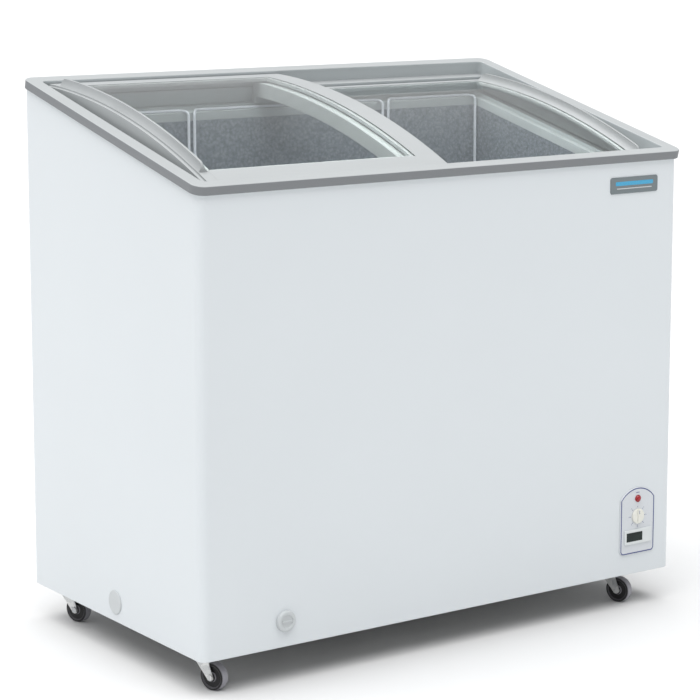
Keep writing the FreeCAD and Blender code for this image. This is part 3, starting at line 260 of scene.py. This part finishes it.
def white_plastic():
    return moulded("white_plastic", (0.66, 0.69, 0.695), roughness=0.36)


def cap_plastic():
    return moulded("cap_plastic", (0.53, 0.555, 0.565), roughness=0.4)


def cream_plastic():
    return moulded("cream_plastic", (0.74, 0.735, 0.67), roughness=0.3, edge_radius=0.0007,
                   coat_weight=0.3)


def black_plastic():
    return moulded("black_plastic", (0.028, 0.028, 0.03), roughness=0.5, depth=0.00008)


def panel_plastic():
    return moulded("panel_plastic", (0.61, 0.635, 0.665), roughness=0.32, edge_radius=0.0006,
                   coat_weight=0.3)


def badge_plastic():
    return moulded("badge_plastic", (0.145, 0.175, 0.185), roughness=0.34, grain=0.0004,
                   edge_radius=0.0007, coat_weight=0.3)


def blue_ink():
    return moulded("blue_ink", (0.035, 0.055, 0.20), roughness=0.35, edge_radius=0.0003)


def badge_blue():
    return moulded("badge_blue", (0.03, 0.33, 0.56), roughness=0.3, edge_radius=0.0003, coat_weight=0.5)


def badge_silver():
    return moulded("badge_silver", (0.55, 0.57, 0.58), roughness=0.32, edge_radius=0.0003)


def seal_rubber():
    """Soft grey extrusion with a bloom of talc."""
    made = Finish("seal_rubber", (0.22, 0.225, 0.235), 0.7, sheen_weight=0.2)
    skin = made.noise(0.0009, detail=3)
    bloom = made.noise(0.02, detail=4)
    tone = made.ramp(bloom, (0.35, (0.17, 0.175, 0.185)), (0.7, (0.28, 0.285, 0.295)))
    return made.use(base_color=tone, normal=made.bump(skin, 0.0001))


def caster_rubber():
    """Black wheel body; round its rim a greyer tone is painted on as a painted sheen."""
    made = Finish("caster_rubber", (0.02, 0.02, 0.021), 0.5, specular_ior_level=0.35)
    skin = made.noise(0.0011, detail=3)
    dust = made.noise(0.009, detail=5)
    tone = made.ramp(dust, (0.4, (0.01, 0.01, 0.011)), (0.62, (0.022, 0.022, 0.023)),
                     (0.8, (0.06, 0.06, 0.062)))
    along = made.facing((math.cos(CASTER_HEADING), math.sin(CASTER_HEADING), 0.0))
    rolling = made.between(made.plus(along, along, operation="MULTIPLY"), 1.0, 0.0, start=0.1, stop=0.6)
    # A greyer tone round the tread: a painted sheen.
    tread_with_painted_sheen = made.overlay(rolling, tone, (0.31, 0.305, 0.335))
    edge, soft = made.edges(0.0012)
    sheen_and_edge_scuffs = made.overlay(made.between(edge, 0.0, 0.4), tread_with_painted_sheen, (0.16, 0.16, 0.162))
    return made.use(base_color=sheen_and_edge_scuffs, roughness=made.between(dust, 0.38, 0.7, start=0.3, stop=0.7),
                    normal=made.bump(skin, 0.00012, soft))


def basket_wire():
    """Steel wire dipped in pale plastic: soft gloss with thick and thin stretches."""
    colour = (0.70, 0.71, 0.775)
    made = Finish("basket_wire", colour, 0.3, coat_weight=0.3, coat_roughness=0.15)
    runs = made.noise(0.012, detail=2)
    skin = made.noise(0.0012, detail=2)
    tone = made.ramp(runs, (0.3, shade(colour, 0.93)), (0.7, shade(colour, 1.07)))
    height = made.plus(made.between(runs, 0.0, 3.0), skin)
    return made.use(base_color=tone, normal=made.bump(height, 0.00009))


def copper():
    """Drawn copper tube, browned in places."""
    made = Finish("copper", (0.72, 0.38, 0.22), 0.32, metallic=1.0)
    stain = made.noise(0.018, detail=5)
    fine = made.noise(0.001, detail=2)
    tone = made.ramp(stain, (0.35, (0.80, 0.46, 0.30)), (0.55, (0.62, 0.31, 0.18)),
                     (0.75, (0.34, 0.18, 0.11)))
    return made.use(base_color=tone, roughness=made.between(stain, 0.22, 0.55, start=0.3, stop=0.75),
                    normal=made.bump(fine, 0.00004))


def black_steel():
    """Black baked enamel over pressed steel."""
    made = Finish("black_steel", (0.022, 0.022, 0.024), 0.32, coat_weight=0.6, coat_roughness=0.1)
    peel = made.noise(0.0022, detail=2)
    dust = made.noise(0.03, detail=5)
    edge, soft = made.edges(0.0008)
    tone = made.ramp(dust, (0.4, (0.018, 0.018, 0.02)), (0.75, (0.055, 0.054, 0.05)))
    worn = made.overlay(made.between(edge, 0.0, 0.3), tone, (0.16, 0.16, 0.155))
    return made.use(base_color=worn, roughness=made.between(dust, 0.25, 0.55, start=0.35, stop=0.75),
                    normal=made.bump(peel, 0.00013, soft))


def red_lens():
    """Translucent red moulding with fine rings inside."""
    made = Finish("red_lens", (0.42, 0.006, 0.012), 0.16, subsurface_weight=0.15, coat_weight=0.15)
    facets = made.cells(0.0016)
    tone = made.ramp(facets, (0.1, (0.55, 0.008, 0.016)), (0.6, (0.24, 0.003, 0.008)))
    return made.use(base_color=tone, normal=made.bump(facets, 0.00015))


def display_lens():
    """Dark liquid-crystal window: nearly black with a faint green cast and a polariser's grain."""
    made = Finish("display_lens", (0.012, 0.018, 0.017), 0.1, specular_ior_level=0.2)
    cloud = made.noise(0.012, detail=3)
    grain = made.noise(0.0004, detail=1)
    tone = made.ramp(cloud, (0.3, (0.008, 0.012, 0.012)), (0.75, (0.022, 0.034, 0.03)))
    return made.use(base_color=tone, roughness=made.between(grain, 0.07, 0.16, start=0.3, stop=0.7))


def lid_glass():
    """Curved toughened glass: clear and faintly green, with a film of wiping marks.

    Shadow rays pass through it, so lamps light what lies below.
    """
    made = Finish("lid_glass", (0.96, 0.985, 0.975), 0.0, ior=1.3, transmission_weight=1.0)
    smear = made.noise(0.03, detail=5, stretch=(0.4, 1.0, 1.0))
    ripple = made.noise(0.15, detail=1)
    made.use(roughness=made.between(smear, 0.0, 0.05, start=0.45, stop=0.8),
             normal=made.bump(ripple, 0.00015))
    clear = made.node("BsdfTransparent", {"Color": (0.93, 0.965, 0.955, 1)})
    lamp_ray = made.node("LightPath", {}).outputs["Is Shadow Ray"]
    both = made.node("MixShader", {0: lamp_ray, 1: made.shader.outputs[0], 2: clear.outputs[0]})
    output = made.tree.nodes["Material Output"]
    made.tree.links.new(both.outputs[0], output.inputs["Surface"])
    return made.material


SLOT_FINISHES = [white_paint, galvanised, liner_aluminium, foam, grey_plastic, white_plastic, lid_glass,
                 seal_rubber, basket_wire, copper, black_steel, black_plastic, panel_plastic, red_lens,
                 cream_plastic, display_lens, badge_plastic, caster_rubber]
finishes = {make.__name__: make() for make in SLOT_FINISHES}
EXTRA_FINISHES = [rim_plastic, collar_plastic, cap_plastic, blue_ink, badge_blue, badge_silver]
finishes.update({make.__name__: make() for make in EXTRA_FINISHES})
OWN_FINISH = {"top_frame": "rim_plastic", "throat_collar": "collar_plastic",
              "drain_cap": "cap_plastic", "side_plug": "cap_plastic"}

for row in frame["record"]["subparts"]:
    node = frame["nodes"][row["node"]]
    node.data.materials.clear()
    node.data.materials.append(finishes[OWN_FINISH.get(row["node"], row["material_slot"])])


# ---------------------------------------------------------------- piece helpers
def piece(name, mesh, finish, body):
    """A new piece that rides on a body."""
    made = bpy.data.objects.new(name, mesh)
    bpy.context.scene.collection.objects.link(made)
    made.data.materials.clear()
    made.data.materials.append(finishes[finish])
    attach(made, body)
    return made


def mesh_of(name, loops, closed_ends=True):
    """A closed mesh through loops of equal count, capped at its ends or joined last to first."""
    shape = bmesh.new()
    rings = [[shape.verts.new(point) for point in loop] for loop in loops]
    count = len(loops[0])
    pairs = list(zip(rings, rings[1:]))
    if not closed_ends:
        pairs.append((rings[-1], rings[0]))
    for first, second in pairs:
        for number in range(count):
            after = (number + 1) % count
            shape.faces.new((first[number], first[after], second[after], second[number]))
    if closed_ends:
        shape.faces.new(rings[0])
        shape.faces.new(reversed(rings[-1]))
    bmesh.ops.recalc_face_normals(shape, faces=shape.faces)
    made = bpy.data.meshes.new(name)
    shape.to_mesh(made)
    shape.free()
    return made


def join_meshes(name, meshes):
    """Several meshes as one."""
    shape = bmesh.new()
    for mesh in meshes:
        shape.from_mesh(mesh)
    made = bpy.data.meshes.new(name)
    shape.to_mesh(made)
    shape.free()
    return made


def arc(centre, radius, start, stop, steps):
    """Points of an arc in the front plane, angles in degrees anticlockwise from +X."""
    turns = [math.radians(start + (stop - start) * n / steps) for n in range(steps + 1)]
    return [(centre[0] + radius * math.cos(t), centre[1] + radius * math.sin(t)) for t in turns]


def rounded_box(low, high, radius, steps=6):
    """Outline of a rectangle with round corners in the front plane."""
    (x0, z0), (x1, z1) = low, high
    centres = [((x1 - radius, z1 - radius), 0), ((x0 + radius, z1 - radius), 90),
               ((x0 + radius, z0 + radius), 180), ((x1 - radius, z0 + radius), 270)]
    return [point for centre, start in centres for point in arc(centre, radius, start, start + 90, steps)]


def front_plate(name, outline, y, rise):
    """A thin printed or raised shape standing on a face at y that looks towards -Y."""
    loops = [[(x, depth, z) for x, z in outline] for depth in (y, y - rise)]
    return mesh_of(name, loops)


def front_ring(name, outer, inner, y, rise):
    """A thin frame between two outlines of equal count, standing on a face at y."""
    loops = [[(x, y, z) for x, z in inner], [(x, y, z) for x, z in outer],
             [(x, y - rise, z) for x, z in outer], [(x, y - rise, z) for x, z in inner]]
    return mesh_of(name, loops, closed_ends=False)


# ---------------------------------------------------------------- control plate's printing
PRINT = 0.12 * MM
plate_low, plate_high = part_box("control_plate")
dial_low, dial_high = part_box("thermostat_dial")
dial_x, dial_z = (dial_low.x + dial_high.x) / 2, (dial_low.z + dial_high.z) / 2
plate_face = plate_low.y


def plate_outline(inset):
    """Outline of the arched plate, moved in by inset."""
    left, right = plate_low.x + inset, plate_high.x - inset
    low, high = plate_low.z + inset, plate_high.z - inset
    corner = 8 * MM - inset
    shoulder = plate_high.z - 21 * MM
    half = (right - left) / 2
    rise = high - shoulder
    radius = (half * half + rise * rise) / (2 * rise)
    reach = math.degrees(math.asin(half / radius))
    crown = arc(((left + right) / 2, high - radius), radius, 90 - reach, 90 + reach, 28)
    return crown + arc((left + corner, low + corner), corner, 180, 270, 8) + \
        arc((right - corner, low + corner), corner, 270, 360, 8)


def make_plate_printing():
    """Dark blue outline, dial scale and the lamp's mark."""
    border = front_ring("border", plate_outline(1.2 * MM), plate_outline(3.1 * MM), plate_face, PRINT)
    piece("plate_border", border, "blue_ink", "cabinet")

    marks = []
    scale_radius = 17 * MM
    for step in range(8):
        angle = math.radians(90 - 45 * step)
        out = Vector((math.cos(angle), math.sin(angle)))
        side = Vector((-out.y, out.x))
        middle = Vector((dial_x, dial_z)) + out * scale_radius
        wide, tall = side * 0.45 * MM, out * 1.1 * MM
        corners = [middle + tall * a + wide * b for a, b in ((-1, -1), (1, -1), (1, 1), (-1, 1))]
        marks.append(front_plate("tick", [tuple(c) for c in corners], plate_face, PRINT))
    lamp_low, lamp_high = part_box("indicator_lamp")
    over = lamp_high.z + 4 * MM
    middle = (lamp_low.x + lamp_high.x) / 2
    bar = rounded_box((middle - 4 * MM, over), (middle + 4 * MM, over + 1.2 * MM), 0.5 * MM, 4)
    marks.append(front_plate("bar", bar, plate_face, PRINT))
    piece("dial_scale", join_meshes("scale", marks), "blue_ink", "cabinet")


def make_dial_numbers():
    """Plain numbers 1 to 7 round the dial."""
    meshes = []
    reach = 20 * MM
    for number in range(1, 8):
        angle = math.radians(90 - 45 * number)
        text = bpy.data.curves.new("number", "FONT")
        text.body = str(number)
        text.size = 3.4 * MM
        text.align_x, text.align_y = "CENTER", "CENTER"
        text.extrude = PRINT / 2
        holder = bpy.data.objects.new("number", text)
        bpy.context.scene.collection.objects.link(holder)
        bpy.context.view_layer.update()
        solid = holder.evaluated_get(bpy.context.evaluated_depsgraph_get())
        mesh = bpy.data.meshes.new_from_object(solid)
        spot = (dial_x + reach * math.cos(angle), plate_face - PRINT / 2,
                dial_z + reach * math.sin(angle))
        mesh.transform(Matrix.Translation(spot) @ Matrix.Rotation(math.radians(90), 4, "X"))
        bpy.data.objects.remove(holder)
        meshes.append(mesh)
    piece("dial_numbers", join_meshes("numbers", meshes), "blue_ink", "cabinet")


def make_dial_pointer():
    """Dark line let into the top of the dial's ridge."""
    top = dial_high.z - 2.4 * MM
    outline = rounded_box((dial_x - 0.5 * MM, top - 7 * MM), (dial_x + 0.5 * MM, top), 0.4 * MM, 4)
    line = front_plate("pointer", outline, dial_low.y, PRINT)
    piece("dial_pointer", line, "blue_ink", "thermostat_dial")


def make_badge_print():
    """Blank plate's decoration: a blue band over a pale line, with no lettering."""
    low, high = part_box("badge_plate")
    outline = rounded_box((low.x + 11 * MM, low.z + 14 * MM), (high.x - 11 * MM, low.z + 21 * MM), 2 * MM)
    band = front_plate("band", outline, low.y, PRINT)
    piece("badge_band", band, "badge_blue", "cabinet")
    outline = rounded_box((low.x + 14 * MM, low.z + 8 * MM), (high.x - 14 * MM, low.z + 9.6 * MM),
                          0.7 * MM, 4)
    line = front_plate("line", outline, low.y, PRINT)
    piece("badge_line", line, "badge_silver", "cabinet")


make_plate_printing()
make_dial_numbers()
make_dial_pointer()
make_badge_print()


# ---------------------------------------------------------------- floor, light and camera
def studio_floor():
    made = Finish("studio_floor", (0.70, 0.70, 0.70), 0.7)
    soft = made.noise(0.4, detail=2)
    return made.use(roughness=made.between(soft, 0.65, 0.8))


def make_floor():
    """A wide pale sweep for the freezer to stand on."""
    ring = [(40 * math.cos(math.tau * n / 96), 40 * math.sin(math.tau * n / 96)) for n in range(96)]
    mesh = mesh_of("floor", [[(x, y, z) for x, y in ring] for z in (-0.02, 0.0)])
    floor = bpy.data.objects.new("floor", mesh)
    bpy.context.scene.collection.objects.link(floor)
    mesh.materials.append(studio_floor())


def make_light():
    """A very broad overhead lamp, leaning to the left, and an even pale sky."""
    data = bpy.data.lights.new("overhead", "SUN")
    data.angle = math.radians(80)
    data.energy = 4.05
    lamp = bpy.data.objects.new("overhead", data)
    bpy.context.scene.collection.objects.link(lamp)
    lamp.rotation_euler = Vector((0.16, 0.03, -1)).to_track_quat("-Z", "Y").to_euler()
    world = bpy.data.worlds.new("studio")
    bpy.context.scene.world = world
    world.use_nodes = True
    background = world.node_tree.nodes["Background"]
    background.inputs["Color"].default_value = (0.97, 0.985, 1.0, 1)
    background.inputs["Strength"].default_value = 0.48
    bpy.context.scene.view_settings.view_transform = "Standard"


def make_camera():
    """Long lens from the front left, slightly above the lids."""
    data = bpy.data.cameras.new("camera")
    data.sensor_width = 36
    data.lens = 121.055
    data.shift_y = -0.1
    data.clip_end = 200
    camera = bpy.data.objects.new("camera", data)
    bpy.context.scene.collection.objects.link(camera)
    camera.location = (-2.341788, -3.326405, 1.221671)
    pitch, heading = math.radians(8.818), math.radians(34.970)
    camera.rotation_euler = (math.pi / 2 - pitch, 0, -heading)
    bpy.context.scene.camera = camera


make_floor()
make_light()
make_camera()
